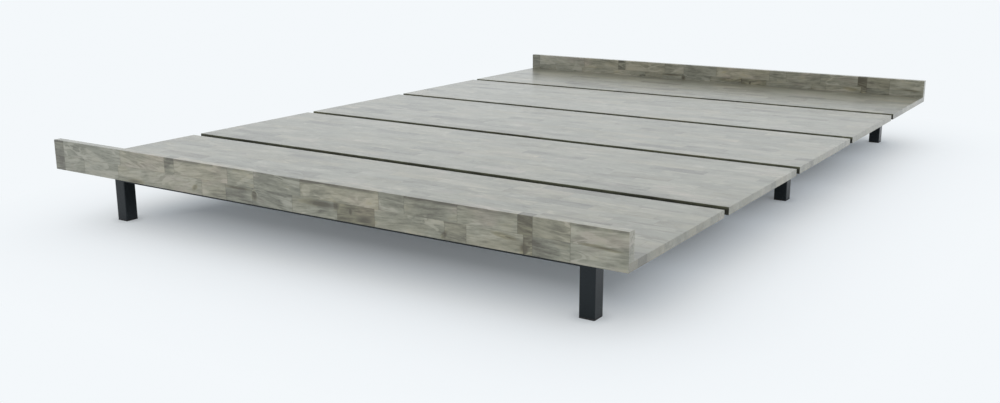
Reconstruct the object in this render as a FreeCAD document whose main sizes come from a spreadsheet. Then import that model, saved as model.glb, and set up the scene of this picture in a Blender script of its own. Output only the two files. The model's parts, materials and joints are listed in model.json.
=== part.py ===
import FreeCAD, Part

import math
import os
from types import SimpleNamespace

import Sketcher

# A low floor bed: five wide slat panels of finger-jointed wood lie across three
# portal leg frames of square steel tube, tied front to back by folded rails.
# An end board, dowelled and glued, stands on the first and on the last panel and
# keeps the mattress in.
#
# Frame: millimetres, +X to the right and +Y to the rear as seen from the foot
# of the bed, +Z up, origin on the floor under the middle of the bed.

SIZES = {
    # Wood
    "panel_length": 1390,
    "panel_width": 390,
    "panel_gap": 22,
    "panel_thickness": 15,
    "board_height": 50,
    "board_thickness": 18,
    "edge_chamfer": 1,
    # Leg frames, set out from the outline of the panels
    "base_height": 119,
    "tube_width": 30,
    "tube_wall": 1.5,
    "tube_round": 2,
    "side_inset": 95,
    "front_setback": 75,
    "middle_offset": 40,
    "rear_setback": 93,
    # Feet
    "foot_thickness": 3,
    "foot_plug_depth": 14,
    "foot_plug_wall": 2,
    "foot_clearance": 0.2,
    # Rails between the leg frames, and the tongues that carry their ends
    "rail_wall": 2,
    "rail_round": 2,
    "tongue_length": 50,
    "tongue_thickness": 5,
    "tongue_clearance": 0.2,
    "tongue_screw_reach": 30,
    # Screws up through the side rails into the panels
    "screw_diameter": 6,
    "screw_head_flats": 10,
    "screw_head_height": 4,
    "screw_cover": 4,
    "steel_clearance": 0.3,
    "wood_clearance": 0.1,
    # Dowels between the end boards and their panels
    "dowel_spacing": 500,
    "dowel_diameter": 8,
    "dowel_cover": 5,
    "dowel_board_depth": 20,
}
PANEL_COUNT = 5
HEX_SIDES = 6
ROOT_THREE = math.sqrt(3)

doc = FreeCAD.newDocument("FloorBed")
sheet = doc.addObject("Spreadsheet::Sheet", "Sizes")
for row, (alias, number) in enumerate(SIZES.items(), 1):
    sheet.set(f"A{row}", alias)
    sheet.set(f"B{row}", str(number))
    sheet.setAlias(f"B{row}", alias)
doc.recompute()


class Size:
    """A length: the formula that the sheet keeps for it, and what it comes to now."""

    def __init__(self, formula, value):
        self.formula = formula
        self.value = value

    def __add__(self, other):
        other = as_size(other)
        return Size(f"({self.formula} + {other.formula})", self.value + other.value)

    def __sub__(self, other):
        other = as_size(other)
        return Size(f"({self.formula} - {other.formula})", self.value - other.value)

    def __mul__(self, other):
        other = as_size(other)
        return Size(f"({self.formula} * {other.formula})", self.value * other.value)

    def __truediv__(self, other):
        other = as_size(other)
        return Size(f"({self.formula} / {other.formula})", self.value / other.value)

    def __neg__(self):
        return self * -1

    __rmul__ = __mul__


def as_size(number):
    return number if isinstance(number, Size) else Size(f"({number})", number)


s = SimpleNamespace(**{alias: Size(f"Sizes.{alias}", sheet.get(alias)) for alias in SIZES})
ZERO = as_size(0)

# Outline of the bed and the places that several pieces share
pitch = s.panel_width + s.panel_gap
bed_depth = PANEL_COUNT * s.panel_width + (PANEL_COUNT - 1) * s.panel_gap
right_end = s.panel_length / 2
left_end = -right_end
rear_edge = bed_depth / 2
front_edge = -rear_edge
underside = s.base_height
panel_top = underside + s.panel_thickness
tube_bottom = underside - s.tube_width
frame_width = s.panel_length - 2 * s.side_inset
frame_left = left_end + s.side_inset
frame_right = right_end - s.side_inset
FRAMES = {
    "front": front_edge + s.front_setback,
    "middle": s.middle_offset - s.tube_width / 2,
    "rear": rear_edge - s.rear_setback - s.tube_width,
}
BAYS = {"front": ("front", "middle"), "rear": ("middle", "rear")}
RAIL_LINES = {
    "left": frame_left,
    "centre": -(s.tube_width / 2),
    "right": frame_right - s.tube_width,
}
SIDES = ("left", "right")


# Sketches and features

def new_body(label):
    body = doc.addObject("PartDesign::Body", label)
    body.Label = label
    return body


def new_sketch(body, role, name, lift=ZERO):
    """A sketch on one of the body's own origin planes, lifted off it along its normal."""
    sketch = body.newObject("Sketcher::SketchObject", name)
    planes = [o for o in body.Origin.OriginFeatures if o.Role == role]
    sketch.AttachmentSupport = (planes[0], [""])
    sketch.MapMode = "FlatFace"
    if lift is not ZERO:
        sketch.setExpression("AttachmentOffset.Base.z", lift.formula)
    return sketch


def hold_at(sketch, shape, point, x, y):
    """Dimension one point of a drawn shape from the sketch's origin."""
    for kind, axis, reach in (("DistanceX", -2, x), ("DistanceY", -1, y)):
        if reach is ZERO:
            sketch.addConstraint(Sketcher.Constraint("PointOnObject", shape, point, axis))
            continue
        number = sketch.addConstraint(
            Sketcher.Constraint(kind, -1, 1, shape, point, reach.value)
        )
        sketch.setExpression(f"Constraints[{number}]", reach.formula)


def draw_outline(sketch, corners):
    """A closed outline of straight lines through the given corners."""
    first = sketch.GeometryCount
    count = len(corners)
    for i, (x, y) in enumerate(corners):
        next_x, next_y = corners[(i + 1) % count]
        start = FreeCAD.Vector(x.value, y.value, 0)
        end = FreeCAD.Vector(next_x.value, next_y.value, 0)
        sketch.addGeometry(Part.LineSegment(start, end), False)
    for i in range(count):
        following = first + (i + 1) % count
        sketch.addConstraint(Sketcher.Constraint("Coincident", first + i, 2, following, 1))
    for i, (x, y) in enumerate(corners):
        hold_at(sketch, first + i, 1, x, y)


def draw_rectangle(sketch, left, low, right, high):
    draw_outline(sketch, [(left, low), (right, low), (right, high), (left, high)])


def draw_circle(sketch, x, y, diameter):
    centre = FreeCAD.Vector(x.value, y.value, 0)
    up = FreeCAD.Vector(0, 0, 1)
    shape = sketch.addGeometry(Part.Circle(centre, up, diameter.value / 2), False)
    number = sketch.addConstraint(Sketcher.Constraint("Diameter", shape, diameter.value))
    sketch.setExpression(f"Constraints[{number}]", diameter.formula)
    hold_at(sketch, shape, 3, x, y)


def pad(body, sketch, length):
    feature = body.newObject("PartDesign::Pad", f"{sketch.Name}Pad")
    feature.Profile = sketch
    feature.setExpression("Length", length.formula)
    body.Tip = feature
    doc.recompute()


def pocket(body, sketch, depth, reverse=False, both_ways=False):
    """Cut a sketch into the body, and stop if it took nothing away."""
    before = body.Shape.Volume
    feature = body.newObject("PartDesign::Pocket", f"{sketch.Name}Pocket")
    feature.Profile = sketch
    feature.setExpression("Length", depth.formula)
    feature.Reversed = reverse
    if both_ways:
        feature.SideType = "Symmetric"
    body.Tip = feature
    doc.recompute()
    if body.Shape.Volume >= before:
        raise RuntimeError(f"{feature.Name} cut nothing from {body.Label}")


def dress_edges(body, kind, is_dressed, size):
    """Fillet or chamfer each straight edge where is_dressed(middle, direction) holds."""
    names = []
    for number, edge in enumerate(body.Shape.Edges, 1):
        if not isinstance(edge.Curve, Part.Line):
            continue
        start = edge.Vertexes[0].Point
        end = edge.Vertexes[-1].Point
        if is_dressed((start + end) / 2, (end - start).normalize()):
            names.append(f"Edge{number}")
    base = body.Tip
    feature = body.newObject(f"PartDesign::{kind}", f"{body.Name}{kind}")
    feature.Base = (base, names)
    feature.setExpression("Radius" if kind == "Fillet" else "Size", size.formula)
    body.Tip = feature
    doc.recompute()


def is_near(a, b):
    return abs(a - b) < 1e-6


def place(item, x, y, z):
    for axis, reach in zip("xyz", (x, y, z)):
        item.setExpression(f"Placement.Base.{axis}", reach.formula)


def turn_round(item):
    """Turn an item half a turn about its own vertical axis."""
    half_turn = FreeCAD.Rotation(FreeCAD.Vector(0, 0, 1), 180)
    item.Placement = FreeCAD.Placement(item.Placement.Base, half_turn)


# Where the screws and dowels go

def panel_front(index):
    """Y of a panel's front edge. Panel 0 is the one at the front of the bed."""
    return front_edge + index * pitch


def is_between(reach, low, high):
    return low.value <= reach.value <= high.value


def rail_end_rows():
    """Y of each screw row that clamps the rail ends to their tongues."""
    rows = []
    for start, end in BAYS.values():
        rows.append(FRAMES[start] + s.tube_width + s.tongue_screw_reach)
        rows.append(FRAMES[end] - s.tongue_screw_reach)
    return rows


def panel_rows():
    """Y of a screw row on the centre line of each panel that no rail end lies under."""
    rows = []
    for index in range(PANEL_COUNT):
        front = panel_front(index)
        rear = front + s.panel_width
        if not any(is_between(row, front, rear) for row in rail_end_rows()):
            rows.append(front + s.panel_width / 2)
    return rows


def screw_places(rows):
    return [(RAIL_LINES[side] + s.tube_width / 2, y) for side in SIDES for y in rows]


END_SCREWS = screw_places(rail_end_rows())
PANEL_SCREWS = screw_places(panel_rows())
screw_bite = s.panel_thickness - s.screw_cover
pilot_width = s.screw_diameter + 2 * s.wood_clearance
steel_hole_width = s.screw_diameter + 2 * s.steel_clearance
DOWELS_X = [step * s.dowel_spacing for step in (-1, 0, 1)]
dowel_panel_depth = s.panel_thickness - s.dowel_cover
dowel_hole_width = s.dowel_diameter + 2 * s.wood_clearance
BOARD_LINES = {
    "front": front_edge + s.board_thickness / 2,
    "rear": rear_edge - s.board_thickness / 2,
}


# Wood

def drill_dowel_holes(body, line, depth, lift=ZERO, reverse=False):
    holes = new_sketch(body, "XY_Plane", f"{body.Name}_dowel_holes", lift)
    for x in DOWELS_X:
        draw_circle(holes, x - left_end, line, dowel_hole_width)
    pocket(body, holes, depth, reverse)


def slat_panel(index):
    """A flat panel across the bed, chamfered along the gaps, drilled from below."""
    body = new_body(f"panel_{index + 1}")
    blank = new_sketch(body, "XY_Plane", f"{body.Name}_blank")
    draw_rectangle(blank, ZERO, ZERO, s.panel_length, s.panel_width)
    pad(body, blank, s.panel_thickness)

    is_first = index == 0
    is_last = index == PANEL_COUNT - 1
    open_edges = [] if is_first else [0]
    if not is_last:
        open_edges.append(s.panel_width.value)
    dress_edges(
        body,
        "Chamfer",
        lambda middle, direction: is_near(abs(direction.x), 1)
        and is_near(middle.z, s.panel_thickness.value)
        and any(is_near(middle.y, edge) for edge in open_edges),
        s.edge_chamfer,
    )

    front = panel_front(index)
    pilots = new_sketch(body, "XY_Plane", f"{body.Name}_pilots")
    for x, y in END_SCREWS + PANEL_SCREWS:
        if is_between(y, front, front + s.panel_width):
            draw_circle(pilots, x - left_end, y - front, pilot_width)
    pocket(body, pilots, screw_bite, reverse=True)

    if is_first or is_last:
        line = BOARD_LINES["front" if is_first else "rear"]
        drill_dowel_holes(body, line - front, dowel_panel_depth, s.panel_thickness)
    place(body, left_end, front, underside)
    return body


def end_board(name, line):
    """The board on edge that stands on an outer panel, flush with its outer edge."""
    body = new_body(f"{name}_end_board")
    blank = new_sketch(body, "XY_Plane", f"{body.Name}_blank")
    draw_rectangle(blank, ZERO, ZERO, s.panel_length, s.board_thickness)
    pad(body, blank, s.board_height)
    dress_edges(
        body,
        "Chamfer",
        lambda middle, direction: is_near(abs(direction.x), 1)
        and is_near(middle.z, s.board_height.value),
        s.edge_chamfer,
    )
    drill_dowel_holes(body, s.board_thickness / 2, s.dowel_board_depth, reverse=True)
    place(body, left_end, line - s.board_thickness / 2, panel_top)
    return body


# Steel

def round_corners(body, long_axis):
    """Round the outer corners of a square bar or tube along its length."""
    skins = (0, s.tube_width.value)
    across = [axis for axis in "xyz" if axis != long_axis]
    dress_edges(
        body,
        "Fillet",
        lambda middle, direction: is_near(abs(getattr(direction, long_axis)), 1)
        and all(
            any(is_near(getattr(middle, axis), skin) for skin in skins)
            for axis in across
        ),
        s.tube_round,
    )


def tube_blank(body, role, long_axis, length):
    """A length of square tube with rounded corners, square to one origin plane."""
    section = new_sketch(body, role, f"{body.Name}_section")
    draw_rectangle(section, ZERO, ZERO, s.tube_width, s.tube_width)
    far_wall = s.tube_width - s.tube_wall
    draw_rectangle(section, s.tube_wall, s.tube_wall, far_wall, far_wall)
    pad(body, section, length)
    round_corners(body, long_axis)


def leg(frame, side):
    """A tube leg, its top mitred to meet the crossbar's end. Its foot closes it below."""
    body = new_body(f"{frame}_{side}_leg")
    length = s.base_height - s.foot_thickness
    tube_blank(body, "XY_Plane", "z", length)
    mitre = new_sketch(body, "XZ_Plane", f"{body.Name}_mitre")
    draw_outline(
        mitre,
        [
            (ZERO, length),
            (s.tube_width, length - s.tube_width),
            (s.tube_width, length),
        ],
    )
    pocket(body, mitre, 2 * s.tube_width, both_ways=True)
    if side == "left":
        place(body, frame_left, FRAMES[frame], s.foot_thickness)
    else:
        turn_round(body)
        place(body, frame_right, FRAMES[frame] + s.tube_width, s.foot_thickness)
    return body


def crossbar(frame):
    """The tube across the top of a leg frame, mitred at both ends."""
    body = new_body(f"{frame}_crossbar")
    tube_blank(body, "YZ_Plane", "x", frame_width)
    mitres = new_sketch(body, "XZ_Plane", f"{body.Name}_mitres")
    draw_outline(mitres, [(ZERO, ZERO), (s.tube_width, ZERO), (ZERO, s.tube_width)])
    draw_outline(
        mitres,
        [
            (frame_width, ZERO),
            (frame_width, s.tube_width),
            (frame_width - s.tube_width, ZERO),
        ],
    )
    pocket(body, mitres, 2 * s.tube_width, both_ways=True)
    place(body, frame_left, FRAMES[frame], tube_bottom)
    return body


def foot(frame, side):
    """A moulded plug: a pad as wide as the tube under it, and a cup pushed up inside."""
    body = new_body(f"{frame}_{side}_foot")
    sole = new_sketch(body, "XY_Plane", f"{body.Name}_sole")
    draw_rectangle(sole, ZERO, ZERO, s.tube_width, s.tube_width)
    pad(body, sole, s.foot_thickness)
    round_corners(body, "z")
    cup = new_sketch(body, "XY_Plane", f"{body.Name}_cup", s.foot_thickness)
    outer_low = s.tube_wall + s.foot_clearance
    outer_high = s.tube_width - outer_low
    draw_rectangle(cup, outer_low, outer_low, outer_high, outer_high)
    inner_low = outer_low + s.foot_plug_wall
    inner_high = outer_high - s.foot_plug_wall
    draw_rectangle(cup, inner_low, inner_low, inner_high, inner_high)
    pad(body, cup, s.foot_plug_depth)
    left = frame_left if side == "left" else frame_right - s.tube_width
    place(body, left, FRAMES[frame], ZERO)
    return body


def rail(bay, line):
    """A rail folded to an upside-down U, lying over the tongues of two leg frames."""
    start, end = BAYS[bay]
    front = FRAMES[start] + s.tube_width
    length = FRAMES[end] - front
    body = new_body(f"{bay}_{line}_rail")
    blank = new_sketch(body, "XY_Plane", f"{body.Name}_blank")
    draw_rectangle(blank, ZERO, ZERO, s.tube_width, length)
    pad(body, blank, s.tube_width)
    dress_edges(
        body,
        "Fillet",
        lambda middle, direction: is_near(abs(direction.y), 1)
        and is_near(middle.z, s.tube_width.value),
        s.rail_round,
    )
    channel = new_sketch(body, "XY_Plane", f"{body.Name}_channel")
    draw_rectangle(channel, s.rail_wall, ZERO, s.tube_width - s.rail_wall, length)
    pocket(body, channel, s.tube_width - s.rail_wall, reverse=True)

    screws = [y for x, y in END_SCREWS + PANEL_SCREWS if is_on_rail(x, y, bay, line)]
    if screws:
        holes = new_sketch(body, "XY_Plane", f"{body.Name}_holes")
        for y in screws:
            draw_circle(holes, s.tube_width / 2, y - front, steel_hole_width)
        pocket(body, holes, s.tube_width, reverse=True)
    place(body, RAIL_LINES[line], front, tube_bottom)
    return body


def is_on_rail(x, y, bay, line):
    start, end = BAYS[bay]
    left = RAIL_LINES[line]
    is_across = is_between(x, left, left + s.tube_width)
    return is_across and is_between(y, FRAMES[start], FRAMES[end])


# Groups of like pieces: each is its own solid in one node

def group(label, pieces):
    compound = doc.addObject("Part::Compound", label)
    compound.Label = label
    compound.Links = pieces
    return compound


def round_bar(label, diameter, length, x, y, z):
    bar = doc.addObject("Part::Cylinder", label)
    bar.setExpression("Radius", (diameter / 2).formula)
    bar.setExpression("Height", length.formula)
    place(bar, x, y, z)
    return bar


def tongue(label, line, y, screw_y):
    """A flat bar welded to a crossbar. Those under the side rails have a screw hole."""
    bar = doc.addObject("Part::Box", label)
    clearance = s.rail_wall + s.tongue_clearance
    bar.setExpression("Length", (s.tube_width - 2 * clearance).formula)
    bar.setExpression("Width", s.tongue_length.formula)
    bar.setExpression("Height", s.tongue_thickness.formula)
    top = underside - s.rail_wall
    place(bar, RAIL_LINES[line] + clearance, y, top - s.tongue_thickness)
    if line not in SIDES:
        return bar
    x = RAIL_LINES[line] + s.tube_width / 2
    drilled = doc.addObject("Part::Cut", f"{label}_drilled")
    drilled.Base = bar
    drilled.Tool = round_bar(
        f"{label}_hole", steel_hole_width, s.tube_width, x, screw_y, tube_bottom
    )
    return drilled


def tongues(frame):
    """The tongues of one crossbar, towards each bay that it carries."""
    bars = []
    for line in RAIL_LINES:
        for bay, (start, end) in BAYS.items():
            label = f"{frame}_{line}_{bay}_tongue"
            if frame == start:
                y = FRAMES[frame] + s.tube_width
                bars.append(tongue(label, line, y, y + s.tongue_screw_reach))
            if frame == end:
                y = FRAMES[frame] - s.tongue_length
                screw_y = FRAMES[frame] - s.tongue_screw_reach
                bars.append(tongue(label, line, y, screw_y))
    return group(f"{frame}_rail_tongues", bars)


def hex_screw(label, grip, x, y):
    """A hexagon-head wood screw, driven up. The grip is the steel that it clamps."""
    seat = underside - grip
    screw = doc.addObject("Part::Fuse", label)
    screw.Base = round_bar(
        f"{label}_shank", s.screw_diameter, grip + screw_bite, x, y, seat
    )
    screw.Tool = doc.addObject("Part::Prism", f"{label}_head")
    screw.Tool.Polygon = HEX_SIDES
    screw.Tool.setExpression("Circumradius", (s.screw_head_flats / ROOT_THREE).formula)
    screw.Tool.setExpression("Height", s.screw_head_height.formula)
    place(screw.Tool, x, y, seat - s.screw_head_height)
    return screw


def hex_screws(label, spots, grip):
    screws = [
        hex_screw(f"{label}_{number}", grip, x, y)
        for number, (x, y) in enumerate(spots, 1)
    ]
    return group(label, screws)


def board_dowels():
    length = dowel_panel_depth + s.dowel_board_depth
    foot_level = panel_top - dowel_panel_depth
    dowels = [
        round_bar(f"{name}_dowel_{number}", s.dowel_diameter, length, x, line, foot_level)
        for name, line in BOARD_LINES.items()
        for number, x in enumerate(DOWELS_X, 1)
    ]
    return group("board_dowels", dowels)


def build():
    nodes = [slat_panel(index) for index in range(PANEL_COUNT)]
    nodes += [end_board(name, line) for name, line in BOARD_LINES.items()]
    for frame in FRAMES:
        nodes.append(crossbar(frame))
        nodes += [leg(frame, side) for side in SIDES]
        nodes += [foot(frame, side) for side in SIDES]
        nodes.append(tongues(frame))
    nodes += [rail(bay, line) for bay in BAYS for line in RAIL_LINES]
    tongue_grip = s.rail_wall + s.tongue_thickness
    nodes.append(hex_screws("rail_end_screws", END_SCREWS, tongue_grip))
    nodes.append(hex_screws("panel_screws", PANEL_SCREWS, s.rail_wall))
    nodes.append(board_dowels())
    return nodes


def check(nodes):
    for item in doc.Objects:
        if {"Invalid", "Error"} & set(item.State):
            raise RuntimeError(f"{item.Label} did not build: {item.State}")
    for node in nodes:
        if node.Shape.isNull() or not node.Shape.isValid():
            raise RuntimeError(f"{node.Label} has no valid shape")


nodes = build()
doc.recompute()
check(nodes)
os.makedirs("parts", exist_ok=True)
for node in nodes:
    node.Shape.exportStep(f"parts/{node.Label}.step")
    solids = len(node.Shape.Solids)
    print(f"{node.Label}: {solids} solid(s), {node.Shape.Volume / 1000:.1f} cm3")
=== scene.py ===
import json
import math
from types import SimpleNamespace

import bpy
from mathutils import Matrix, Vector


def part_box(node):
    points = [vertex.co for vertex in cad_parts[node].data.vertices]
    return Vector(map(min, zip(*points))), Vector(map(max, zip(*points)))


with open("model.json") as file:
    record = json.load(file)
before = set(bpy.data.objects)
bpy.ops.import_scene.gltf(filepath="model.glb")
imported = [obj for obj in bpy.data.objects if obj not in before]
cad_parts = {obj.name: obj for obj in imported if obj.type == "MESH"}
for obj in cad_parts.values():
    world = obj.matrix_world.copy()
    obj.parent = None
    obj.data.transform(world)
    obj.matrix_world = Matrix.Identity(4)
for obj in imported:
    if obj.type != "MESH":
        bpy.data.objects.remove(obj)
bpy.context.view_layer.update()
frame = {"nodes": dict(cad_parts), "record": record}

# Sizes that the finishes line up with, in metres

PANEL_LOW, PANEL_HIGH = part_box("panel_1")
NEXT_PANEL_LOW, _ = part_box("panel_2")
BOARD_LOW, BOARD_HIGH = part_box("front_end_board")
PITCH = NEXT_PANEL_LOW.y - PANEL_LOW.y
HALF_LENGTH = PANEL_HIGH.x
HALF_DEPTH = -PANEL_LOW.y
UNDERSIDE = PANEL_LOW.z
BOARD_DEPTH = BOARD_HIGH.y - BOARD_LOW.y
STAVE_WIDTH = (BOARD_HIGH.z - UNDERSIDE) / 2
STAVE_LENGTH = 0.14
PANEL_LANES = round((PANEL_HIGH.y - PANEL_LOW.y) / STAVE_WIDTH)
# How many staves each lane of a panel is shifted along from the last
LANE_SHIFT = 7.31
# A point this close to the bed's front or back counts as part of that face
SKIN = 0.0015
# Butt joints along the two rows of staves in the face of the bed's foot end,
# measured from its left end
LOWER_JOINTS = (0.031, 0.098, 0.209, 0.461, 0.528, 0.599, 0.702, 0.811, 0.897, 1.048,
                1.092, 1.203, 1.220, 1.289)
UPPER_JOINTS = (0.031, 0.219, 0.355, 0.383, 0.534, 0.605, 0.723, 0.907, 0.963, 1.074,
                1.192, 1.220, 1.289)
# The number of the first log that each row is cut from. It sets the tone of each stave
LOWER_LOG = 2397793
UPPER_LOG = 4505072
# Dark staves in the same face: where each starts and ends, its row, how dark it is and
# how brown
OFFCUTS = (
    (-0.01, 0.031, 0, 0.14, 0),
    (0.811, 0.897, 0, 0.2, 1),
    (1.203, 1.220, 0, 0.36, 0.6),
    (1.220, 1.289, 0, 0.08, 0),
    (-0.01, 0.031, 1, 0.09, 0),
    (0.355, 0.383, 1, 0.15, 0.3),
    (1.192, 1.220, 1, 0.2, 1),
)
# Knots and brown streaks in the same face: distance from its left end, height, how far
# they reach along and up, and their slope
KNOTS = (
    (0.262, 0.003, 0.040, 0.008, 0),
    (0.441, 0.014, 0.011, 0.009, 0.5),
    (0.560, 0.028, 0.050, 0.005, 0),
    (0.605, 0.020, 0.010, 0.016, 0),
    (0.770, 0.025, 0.060, 0.010, 0),
    (0.808, 0.026, 0.013, 0.012, 0),
    (0.842, 0.020, 0.006, 0.010, 0),
    (0.875, 0.008, 0.030, 0.014, 0),
    (1.047, 0.009, 0.011, 0.010, 0.5),
    (1.170, 0.025, 0.040, 0.006, -0.1),
    (1.203, 0.010, 0.012, 0.016, 0),
    (1.345, 0.033, 0.060, 0.004, -0.05),
)
# Pale sweeps of grain, in the same way
SWEEPS = (
    (0.130, 0.047, 0.040, 0.005, -0.28),
    (0.255, 0.018, 0.050, 0.009, 0.1),
    (0.420, 0.045, 0.050, 0.014, -0.1),
    (0.580, 0.045, 0.034, 0.006, 0.5),
    (0.737, 0.045, 0.013, 0.016, 0),
    (0.825, 0.043, 0.050, 0.006, -0.22),
    (1.130, 0.016, 0.040, 0.007, 0.22),
    (1.335, 0.045, 0.055, 0.008, -0.2),
)


# Camera

def place_camera():
    lens = bpy.data.cameras.new("camera")
    lens.sensor_width = 36
    lens.lens = 38.474
    camera = bpy.data.objects.new("camera", lens)
    bpy.context.scene.collection.objects.link(camera)
    heading = Matrix.Rotation(math.radians(32.863), 4, "Z")
    tilt = Matrix.Rotation(math.radians(75.991), 4, "X")
    roll = Matrix.Rotation(math.radians(-0.062), 4, "Z")
    stand = Matrix.Translation((1.3686, -2.4195, 0.6164))
    camera.matrix_world = stand @ heading @ tilt @ roll
    bpy.context.scene.camera = camera


place_camera()


# Shader maths

class Value:
    """What one socket gives out. Sums on it add Math nodes."""

    def __init__(self, finish, socket):
        self.finish = finish
        self.socket = socket

    def maths(self, operation, *terms):
        return self.finish.node("Math", {"operation": operation}, dict(enumerate(terms)))

    def __add__(self, other):
        return self.maths("ADD", self, other)

    def __sub__(self, other):
        return self.maths("SUBTRACT", self, other)

    def __rsub__(self, other):
        return self.maths("SUBTRACT", other, self)

    def __mul__(self, other):
        return self.maths("MULTIPLY", self, other)

    def __truediv__(self, other):
        return self.maths("DIVIDE", self, other)

    def __pow__(self, other):
        return self.maths("POWER", self, other)

    def __mod__(self, other):
        return self.maths("FLOORED_MODULO", self, other)

    def __gt__(self, other):
        return self.maths("GREATER_THAN", self, other)

    def __lt__(self, other):
        return self.maths("LESS_THAN", self, other)

    def __abs__(self):
        return self.maths("ABSOLUTE", self)

    def floor(self):
        return self.maths("FLOOR", self)

    def wave(self):
        """Up and down between 0 and 1, once for each unit."""
        return self.maths("SINE", self * math.tau) * 0.5 + 0.5

    def at_least(self, other):
        return self.maths("MAXIMUM", self, other)

    def at_most(self, other):
        return self.maths("MINIMUM", self, other)

    __radd__ = __add__
    __rmul__ = __mul__


class Finish:
    """The nodes of a material, or of the world, and the few calls that make them."""

    def __init__(self, name, kind=bpy.data.materials):
        self.owner = kind.new(name)
        self.owner.use_nodes = True
        self.tree = self.owner.node_tree
        self.tree.nodes.clear()

    def node(self, kind, settings=None, inputs=None, output=0):
        """Add a node: its settings first, then a value or a link for each socket."""
        made = self.tree.nodes.new("ShaderNode" + kind)
        for name, setting in (settings or {}).items():
            if name == "stops":
                self.set_stops(made.color_ramp, setting)
            else:
                setattr(made, name, setting)
        for name, value in (inputs or {}).items():
            if isinstance(value, Value):
                self.tree.links.new(value.socket, made.inputs[name])
            else:
                made.inputs[name].default_value = value
        return None if output is None else Value(self, made.outputs[output])

    @staticmethod
    def set_stops(ramp, stops):
        while len(ramp.elements) < len(stops):
            ramp.elements.new(1)
        for element, (position, colour) in zip(ramp.elements, stops):
            element.position = position
            element.color = (*colour, 1)

    def split(self, vector):
        made = self.node("SeparateXYZ", None, {0: vector})
        outputs = made.socket.node.outputs
        return [Value(self, socket) for socket in outputs]

    def join(self, x, y, z):
        return self.node("CombineXYZ", None, {0: x, 1: y, 2: z})

    def mix(self, share, a, b):
        """A colour between a and b."""
        return self.node(
            "Mix", {"data_type": "RGBA"}, {0: share, 6: full(a), 7: full(b)}, output=2
        )

    def tint(self, share, a, b):
        """Colour a multiplied by b, by a share."""
        settings = {"data_type": "RGBA", "blend_type": "MULTIPLY"}
        return self.node("Mix", settings, {0: share, 6: full(a), 7: full(b)}, output=2)

    def ramp(self, value, stops):
        """A number that follows the stops, which are (position, number) pairs."""
        greys = [(position, (grey,) * 3) for position, grey in stops]
        return self.node("ValToRGB", {"stops": greys}, {0: value})

    def noise(self, at, scale, detail=2, roughness=0.5, distortion=0):
        inputs = {
            "Vector": at,
            "Scale": scale,
            "Detail": detail,
            "Roughness": roughness,
            "Distortion": distortion,
        }
        return self.node("TexNoise", None, inputs)

    def step(self, value, start, stop):
        """0 before start, 1 past stop, and smooth between. Stop may be the lower one."""
        return self.node(
            "MapRange",
            {"interpolation_type": "SMOOTHSTEP"},
            {"Value": value, "From Min": start, "From Max": stop},
        )

    def bump(self, height, distance, strength=1):
        return self.node(
            "Bump", None, {"Height": height, "Distance": distance, "Strength": strength}
        )

    def surface(self, shader):
        """Show this shader, and hand over the material."""
        self.node("OutputMaterial", None, {"Surface": shader}, output=None)
        return self.owner


def between(share, a, b):
    """The number that is this share of the way from a to b."""
    return a + (b - a) * share


def full(colour):
    """A colour with its alpha, or a link as it is."""
    if isinstance(colour, Value):
        return colour
    return (*colour, 1)


def srgb(*levels):
    """The linear colour of red, green and blue levels from 0 to 255."""
    linear = []
    for level in levels:
        share = level / 255
        linear.append(share / 12.92 if share <= 0.04045 else ((share + 0.055) / 1.055) ** 2.4)
    return tuple(linear)


# Wood: staves butt-jointed end to end and glued side by side

DARK_WASH = srgb(84, 80, 66)
MIDDLE_WASH = srgb(137, 136, 118)
LIGHT_WASH = srgb(170, 166, 148)
# How light a stave's wash is, by the chance that picked its log
LOG_TONES = [(0, 0.3), (0.12, 0.42), (0.25, 0.48), (0.85, 0.6), (1, 0.68)]
# Tints that multiply the wash
COOL_LOG = (0.95, 0.975, 1.03)
WARM_LOG = (1.04, 0.98, 0.91)
PINKISH_PATCH = (1.04, 0.96, 0.98)
BROWN_KNOT = (0.9, 0.84, 0.66)
GLUE_LINE = (0.42, 0.39, 0.33)
OPEN_PORE = (0.6, 0.55, 0.48)
# Painted shade along the foot of the boards
PAINTED_SHADE_BY_BOARD = (0.68, 0.67, 0.65)
END_GRAIN = (0.93, 0.92, 0.91)
# Painted shade for the panels' edges inside the gaps, less dark near their tops
GAP_PAINTED_SHADE = (0.09, 0.09, 0.07)
GAP_PAINTED_SHADE_TOP = (0.44, 0.46, 0.34)


def butt_joints(along, joints):
    """How many of a row's joints lie behind this point, and how far the nearest is."""
    count = sum((along > joint for joint in joints), 0)
    nearest = abs(along - joints[0])
    for joint in joints[1:]:
        nearest = nearest.at_most(abs(along - joint))
    return count, nearest


def pull_of(spots, along, up):
    """1 in the heart of a spot and 0 outside all of them."""
    pull = 0
    for place, height, reach, rise, slope in spots:
        far_along = along - place
        far_up = up - height - far_along * slope
        far = ((far_along / reach) ** 2 + (far_up / rise) ** 2) ** 0.5
        pull = (1 - far).at_least(pull)
    return pull


def offcut_look(along, row):
    """How much darker and browner this point is than the other staves of its row."""
    dark = 0
    brown = 0
    for start, stop, its_row, darkness, brownness in OFFCUTS:
        inside = (along > start) * (along < stop) * (abs(row - its_row) < 0.5)
        dark = inside * darkness + dark
        brown = inside * brownness + brown
    return dark, brown


def faces(part_of_normal):
    """1 where the surface faces along this axis, either way."""
    return abs(part_of_normal) > 0.7


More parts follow.
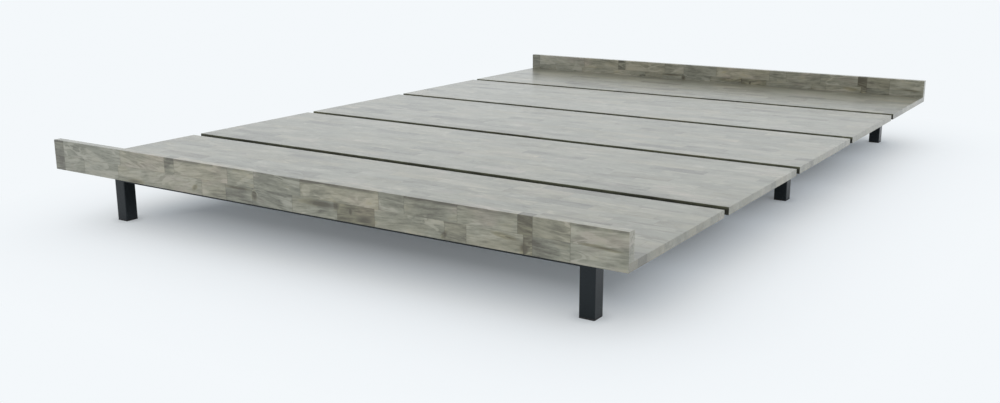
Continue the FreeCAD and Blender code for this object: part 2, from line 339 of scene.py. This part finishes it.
def panel_staves(finish, x, y):
    """Staves in lanes side by side: their number, the nearest end and the place across."""
    from_front = y + HALF_DEPTH
    across = (from_front % PITCH) / STAVE_WIDTH
    panel = (from_front / PITCH).floor()
    lane = panel * PANEL_LANES + across.floor().at_most(PANEL_LANES - 1)
    cells = {"W": lane * LANE_SHIFT + x / STAVE_LENGTH, "Scale": 1, "Randomness": 0.7}
    one_row = {"voronoi_dimensions": "1D"}
    number = finish.node("TexVoronoi", one_row, cells, output="W")
    edges = {"voronoi_dimensions": "1D", "feature": "DISTANCE_TO_EDGE"}
    end = finish.node("TexVoronoi", edges, cells, output="Distance") * STAVE_LENGTH
    return number, end, across


def board_staves(along, row):
    """Staves in two rows on edge: their number and the nearest end."""
    low_count, low_end = butt_joints(along, LOWER_JOINTS)
    high_count, high_end = butt_joints(along, UPPER_JOINTS)
    number = between(row, low_count + LOWER_LOG, high_count + UPPER_LOG)
    return number, between(row, low_end, high_end)


def stave_layout(finish, x, y, z, ny):
    """Which stave a point lies in, and where in it.

    The outer faces of the end panels carry on the rows of the boards.
    """
    along = x + HALF_LENGTH
    up = z - UNDERSIDE
    row = (up / STAVE_WIDTH).floor().at_most(1)
    flat_number, flat_end, flat_across = panel_staves(finish, x, y)
    edge_number, edge_end = board_staves(along, row)
    outer = (abs(y) > HALF_DEPTH - SKIN) * faces(ny)
    upright = outer.at_least(z > BOARD_LOW.z)
    share = between(upright, flat_across, up / STAVE_WIDTH) % 1
    dark, brown = offcut_look(along, row)
    return SimpleNamespace(
        number=between(upright, flat_number, edge_number),
        end=between(upright, flat_end, edge_end),
        edge=share.at_most(1 - share) * STAVE_WIDTH,
        place=(share - 0.5) * STAVE_WIDTH,
        depth=between(upright, up, abs(y) - HALF_DEPTH),
        upright=upright,
        gap_edge=faces(ny) * (1 - upright),
        arris=outer * finish.step(BOARD_HIGH.z - z, 0.007, 0.002),
        knot=pull_of(KNOTS, along, up) * upright,
        sweep=pull_of(SWEEPS, along, up) * upright,
        dark=dark * upright,
        brown=brown * upright,
    )


def log_grain(finish, stave, x):
    """The grain of the log that each stave is cut from, at that stave's own slant."""
    chance = finish.node(
        "TexWhiteNoise", {"noise_dimensions": "1D"}, {"W": stave.number}, output="Color"
    )
    pick, chill, turn = finish.split(chance)
    # Every log lies in its own part of the noise
    along = x + pick * 9
    across = stave.place + along * (turn - 0.5) * 0.28 + chill * 3
    depth = stave.depth + pick * 2

    def figure(along_rate, across_rate, *noise_terms):
        at = finish.join(along * along_rate, across * across_rate, depth * across_rate)
        return finish.noise(at, 1, *noise_terms)

    swirl = figure(11, 46, 2.5, 0.5, 0.6)
    return SimpleNamespace(
        pick=pick,
        chill=chill,
        turn=turn,
        rings=(swirl * 4 + stave.knot * 0.5).wave(),
        plain=figure(14, 25, 1),
        fine=figure(24, 240, 4, 0.7),
        patch=figure(17, 44, 5, 0.62),
        hue=finish.noise(finish.join(along * 15, across * 35, depth * 35 + 7), 1),
        pore=finish.step(figure(90, 1400, 1), 0.6, 0.72),
    )


def wash_shade(finish, stave, grain, uneven):
    """How light the wash is, from 0 to 1. The flat faces are a little darker, as painted
    shade.
    """
    upright = stave.upright
    fine = grain.fine - 0.5
    patch = grain.patch - 0.5
    streak = finish.step(grain.rings, 0.72, 0.9) * finish.step(grain.plain, 0.45, 0.62)
    figure = streak * 0.3 + fine * between(upright, 0.5, 1.2) + patch * 1.15
    shade = finish.ramp(grain.pick, LOG_TONES) + figure * between(upright, 0.73, 1)
    # Painted shade: flat faces get a darker wash than upright ones
    shade = shade + (uneven - 0.5) * 0.5 - (1 - upright) * 0.04 - stave.dark
    knot = finish.step(stave.knot + fine * 1.4 + patch * 0.8, 0.1, 0.85)
    # A broken darker line along the top arris of the boards' outer faces
    dark_arris_line = stave.arris * finish.step(grain.patch + grain.fine - grain.turn * 0.4, 0.65, 0.9)
    sweep = finish.step(stave.sweep + fine * 0.8 + patch * 0.8, 0.05, 0.4) * upright
    return shade - knot * 0.34 - dark_arris_line * 0.4 + sweep * 0.2


def wash_colour(finish, stave, grain, uneven):
    """The wash of each log, with its cool, warm, pinkish and brown parts."""
    washes = [(0.1, DARK_WASH), (0.5, MIDDLE_WASH), (0.9, LIGHT_WASH)]
    shade = wash_shade(finish, stave, grain, uneven)
    colour = finish.node("ValToRGB", {"stops": washes}, {0: shade})
    chill = grain.chill + (grain.hue - 0.5) * 1.2
    colour = finish.tint(chill.at_least(0).at_most(1), colour, COOL_LOG)
    colour = finish.tint((0.4 - chill).at_least(0).at_most(1), colour, WARM_LOG)
    pinkish = finish.step(grain.hue + uneven, 1.05, 1.3)
    colour = finish.tint(pinkish * 0.8, colour, PINKISH_PATCH)
    brown = finish.step(stave.knot + (grain.patch - 0.5) * 2, 0.1, 0.6) * stave.upright
    return finish.tint(brown.at_least(stave.brown) * 0.75, colour, BROWN_KNOT)


def washed_acacia():
    """Finger-wide staves of grey-washed hardwood under a satin lacquer."""
    finish = Finish("washed_acacia")
    coords = finish.node("TexCoord", None, None, output="Object")
    facing = Value(finish, coords.socket.node.outputs["Normal"])
    nx, ny, nz = finish.split(facing)
    # A point on the very surface could fall on either side of a stave's edge
    just_inside = finish.node(
        "VectorMath",
        {"operation": "MULTIPLY_ADD"},
        {0: facing, 1: (-0.001, -0.001, -0.001), 2: coords},
    )
    x, y, z = finish.split(just_inside)
    stave = stave_layout(finish, x, y, z, ny)
    grain = log_grain(finish, stave, x)
    uneven = finish.noise(finish.join(x * 7, y * 14, z * 14), 1)
    colour = wash_colour(finish, stave, grain, uneven)

    glue = (1 - finish.step(stave.edge, 0, 0.0007)) * finish.step(grain.patch, 0.4, 0.6)
    joint = 1 - finish.step(stave.end, 0.0002, 0.0012)
    seam = (glue * 0.6).at_least(joint * 0.45)
    colour = finish.tint(seam, colour, GLUE_LINE)
    colour = finish.tint(grain.pore * 0.25, colour, OPEN_PORE)

    # Painted shade: the tops and ends of the end panels are darkened along the foot of the
    # boards
    by_board = finish.step(HALF_DEPTH - BOARD_DEPTH - abs(y), 0.12, 0)
    board_shade = by_board * (1 - stave.upright) * (nz > -0.5)
    colour = finish.tint(board_shade * (grain.patch * 2).at_most(1), colour, PAINTED_SHADE_BY_BOARD)
    colour = finish.tint(faces(nx), colour, END_GRAIN)
    # The panels' edges in the gaps are painted dark as painted shade, less dark near their
    # tops
    near_top = finish.step(z, PANEL_HIGH.z - 0.007, PANEL_HIGH.z)
    gap_shade = finish.mix(near_top * grain.patch * 2, GAP_PAINTED_SHADE, GAP_PAINTED_SHADE_TOP)
    colour = finish.tint(stave.gap_edge, colour, gap_shade)

    relief = grain.rings * 0.2 + grain.fine * 0.4 - grain.pore * 0.6 - seam * 1.2
    roughness = 0.34 + (grain.fine - 0.5) * 0.12 + grain.pore * 0.15 + stave.gap_edge * 0.4
    shader = finish.node(
        "BsdfPrincipled",
        None,
        {
            "Base Color": colour,
            "Roughness": roughness,
            "Normal": finish.bump(relief, 0.0002, 0.5),
            "Coat Weight": 0.62 - stave.gap_edge * 0.62,
            "Coat Roughness": 0.22,
        },
    )
    return finish.surface(shader)


def powder_coat():
    finish = Finish("black_powder_coat")
    coords = finish.node("TexCoord", None, None, output="Object")
    _, _, facing_up = finish.split(Value(finish, coords.socket.node.outputs["Normal"]))
    dull = finish.step(facing_up, 0.05, -0.4)
    peel = finish.noise(coords, 900, 2)
    cloud = finish.noise(coords, 14, 3)
    colour = finish.mix(cloud, srgb(12, 17, 19), srgb(17, 23, 25))
    shader = finish.node(
        "BsdfPrincipled",
        None,
        {
            "Base Color": colour,
            "Roughness": 0.14 + peel * 0.1 + cloud * 0.08 + dull * 0.7,
            "Specular IOR Level": 0.36,
            "Specular Tint": (0.84, 0.93, 1, 1),
            "Normal": finish.bump(peel, 0.0002, 0.25),
        },
    )
    return finish.surface(shader)


def foot_plastic():
    finish = Finish("foot_plastic")
    coords = finish.node("TexCoord", None, None, output="Object")
    grain = finish.noise(coords, 1500, 2)
    colour = finish.mix(grain, srgb(22, 22, 23), srgb(30, 30, 31))
    shader = finish.node(
        "BsdfPrincipled",
        None,
        {
            "Base Color": colour,
            "Roughness": 0.55 + grain * 0.15,
            "Normal": finish.bump(grain, 0.0002, 0.3),
        },
    )
    return finish.surface(shader)


def zinc_plate():
    finish = Finish("zinc_plate")
    coords = finish.node("TexCoord", None, None, output="Object")
    cloud = finish.noise(coords, 120, 3)
    scratch = finish.noise(coords, 1800, 2)
    colour = finish.mix(cloud, srgb(176, 178, 178), srgb(205, 203, 194))
    shader = finish.node(
        "BsdfPrincipled",
        None,
        {
            "Base Color": colour,
            "Metallic": 0.9,
            "Roughness": 0.3 + cloud * 0.2 + scratch * 0.08,
            "Normal": finish.bump(scratch, 0.0001, 0.3),
        },
    )
    return finish.surface(shader)


def plain_beech():
    finish = Finish("plain_beech")
    coords = finish.node("TexCoord", None, None, output="Object")
    x, y, z = finish.split(coords)
    grain = finish.noise(finish.join(x * 700, y * 700, z * 40), 1, 3)
    fleck = finish.step(finish.noise(finish.join(x * 1500, y * 1500, z * 300), 1), 0.58, 0.7)
    colour = finish.mix(grain, srgb(206, 176, 136), srgb(224, 199, 160))
    colour = finish.tint(fleck * 0.5, colour, (0.75, 0.62, 0.5))
    shader = finish.node(
        "BsdfPrincipled",
        None,
        {
            "Base Color": colour,
            "Roughness": 0.6 + grain * 0.15,
            "Normal": finish.bump(grain, 0.0003, 0.4),
        },
    )
    return finish.surface(shader)


# Floor, surround and light

SURROUND = srgb(244, 248, 251)
FLOOR_HALF = 20
# How far the floor's shadow is lifted towards the floor's own colour, at distances in
# metres that start this far inside the bed's outline and count outwards
SHADOW_START = 0.4
SHADOW_LIFT = [
    (0, 0.06),
    (0.18, 0.14),
    (0.3, 0.37),
    (0.5, 0.73),
    (0.65, 0.9),
    (0.82, 1),
]
# How far the shadow has moved over, to the right and to the rear
SHADOW_RIGHTWARD = 0.015
SHADOW_REARWARD = 0.02
# How round its corners are, and how much faster it fades at the sides than at the ends
SHADOW_CORNER = 0.2
SIDE_FADE = 1.25
# The legs of one side. The other side's mirror them
RIGHT_LEGS = ("front_right_leg", "middle_right_leg", "rear_right_leg")


def seen_directly(finish):
    """1 where the camera, a reflection or a see-through look meets the surface."""
    path = finish.node("LightPath", None, None, output="Is Camera Ray")
    outputs = path.socket.node.outputs
    glossy = Value(finish, outputs["Is Glossy Ray"])
    through = Value(finish, outputs["Is Transmission Ray"])
    return path.at_least(glossy).at_least(through)


def clear_of_feet(finish, x, y):
    """0 close round each foot and 1 further off. The floor uses it to paint a contact shadow
    round the feet.
    """
    clear = 1
    for leg in RIGHT_LEGS:
        low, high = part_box(leg)
        middle_x = (low.x + high.x) / 2
        middle_y = (low.y + high.y) / 2
        far = ((abs(x) - middle_x) ** 2 + (y - middle_y) ** 2) ** 0.5
        clear = finish.step(far, 0.015, 0.045).at_most(clear)
    return clear


def floor_finish():
    """Pale floor. Its shadow under the bed is lightened by painted light that follows the
    bed's outline, and fades out well away.
    """
    finish = Finish("pale_floor")
    coords = finish.node("TexCoord", None, None, output="Object")
    x, y, _ = finish.split(coords)
    side = (abs(x - SHADOW_RIGHTWARD) - HALF_LENGTH) * SIDE_FADE + SHADOW_CORNER
    end = abs(y - SHADOW_REARWARD) - HALF_DEPTH + SHADOW_CORNER
    inside = side.at_least(end).at_most(0)
    outside = (side.at_least(0) ** 2 + end.at_least(0) ** 2) ** 0.5
    distance = inside + outside - SHADOW_CORNER
    lift = finish.ramp(distance + SHADOW_START, SHADOW_LIFT)
    grain = finish.noise(coords, 3, 3)
    pale = finish.mix(grain * 0.02, SURROUND, (0.8, 0.84, 0.88))
    # Painted shade: the floor's own colour turns bluer under the bed
    painted_blue_shade = finish.tint(finish.step(distance, 0, -0.15), pale, (0.84, 0.91, 1))
    no_gloss = {"Base Color": painted_blue_shade, "Roughness": 1, "Specular IOR Level": 0}
    matt = finish.node("BsdfPrincipled", None, no_gloss)
    lit = finish.node("Emission", None, {"Color": pale, "Strength": 1})
    # Painted light lifts the shadow, less so round the feet, which paints a contact shadow
    # there
    share = seen_directly(finish) * lift * between(clear_of_feet(finish, x, y), 0.7, 1)
    return finish.surface(finish.node("MixShader", None, {0: share, 1: matt, 2: lit}))


def lay_floor():
    turns = [(-1, -1), (1, -1), (1, 1), (-1, 1)]
    corners = [(FLOOR_HALF * x, FLOOR_HALF * y, 0) for x, y in turns]
    mesh = bpy.data.meshes.new("floor")
    mesh.from_pydata(corners, [], [(0, 1, 2, 3)])
    mesh.materials.append(floor_finish())
    floor = bpy.data.objects.new("floor", mesh)
    bpy.context.scene.collection.objects.link(floor)


def light_surround():
    """A soft light from all round, a little weaker from the right. Seen directly, it is
    the floor's colour."""
    finish = Finish("surround", bpy.data.worlds)
    direction = finish.node("TexCoord", None, None, output="Generated")
    rightward, _, _ = finish.split(direction)
    light = finish.mix(rightward * 0.5 + 0.5, (0.965, 0.98, 1), (0.715, 0.735, 0.757))
    colour = finish.mix(seen_directly(finish), light, SURROUND)
    background = finish.node("Background", None, {"Color": colour, "Strength": 1})
    finish.node("OutputWorld", None, {"Surface": background}, output=None)
    bpy.context.scene.world = finish.owner


lay_floor()
light_surround()
bpy.context.scene.view_settings.view_transform = "Standard"


# Dress the model

WOOD = washed_acacia()
SLOT_FINISH = {
    "panel_wood": WOOD,
    "board_wood": WOOD,
    "frame_steel": powder_coat(),
    "foot_plastic": foot_plastic(),
    "screw_steel": zinc_plate(),
    "dowel_wood": plain_beech(),
}
for subpart in frame["record"]["subparts"]:
    node = frame["nodes"][subpart["node"]]
    node.data.materials.clear()
    node.data.materials.append(SLOT_FINISH[subpart["material_slot"]])
